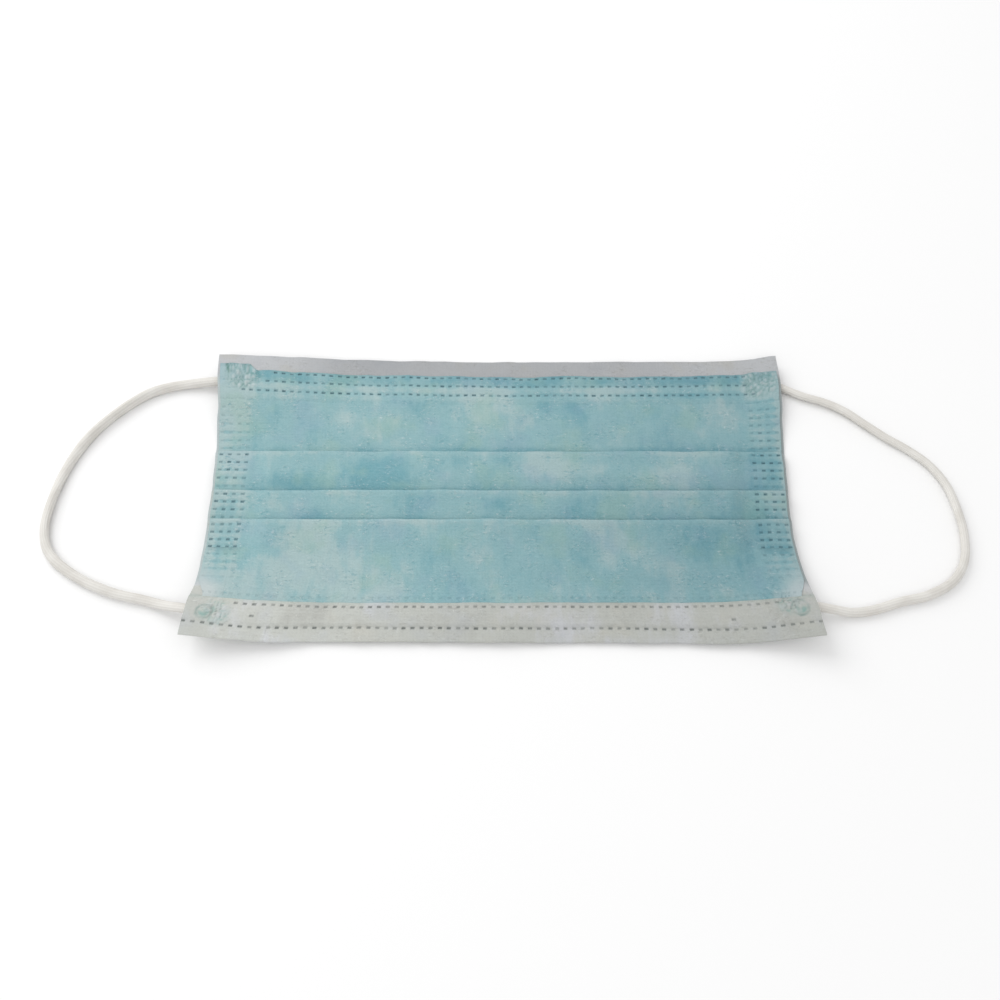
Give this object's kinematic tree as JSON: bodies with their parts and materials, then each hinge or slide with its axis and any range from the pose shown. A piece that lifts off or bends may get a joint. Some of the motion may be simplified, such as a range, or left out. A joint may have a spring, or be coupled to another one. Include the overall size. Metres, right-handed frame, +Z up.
{
  "type": "surgical face mask",
  "caption": "Pleated disposable face mask lying folded flat, with a bendable wire in the band along its nose edge and elastic ear loops welded under its corners.",
  "frame": {"origin": "on the surface that the mask lies on, under the middle of the folded panel without the ear loops", "axes": "+X along the pleats, from one ear loop to the other; +Y from the nose edge to the chin edge; +Z up, out of the outer face"},
  "size_m": [0.2697, 0.095, 0.0082],
  "materials": {
    "blue_nonwoven": "matte spun nonwoven, mottled, with embossed weld marks",
    "white_nonwoven": "matte spun nonwoven",
    "nose_wire_metal": "satin, hidden inside the band",
    "elastic": "fine knitted round elastic"
  },
  "bodies": {
    "root": {"pleated_panel": "blue_nonwoven", "chin_border": "white_nonwoven", "nose_band": "white_nonwoven", "nose_wire": "nose_wire_metal", "loop_end_chin_left": "elastic", "loop_end_nose_left": "elastic", "loop_end_chin_right": "elastic", "loop_end_nose_right": "elastic", "ear_loop_left": "elastic", "ear_loop_right": "elastic"}
  },
  "joints": []
}
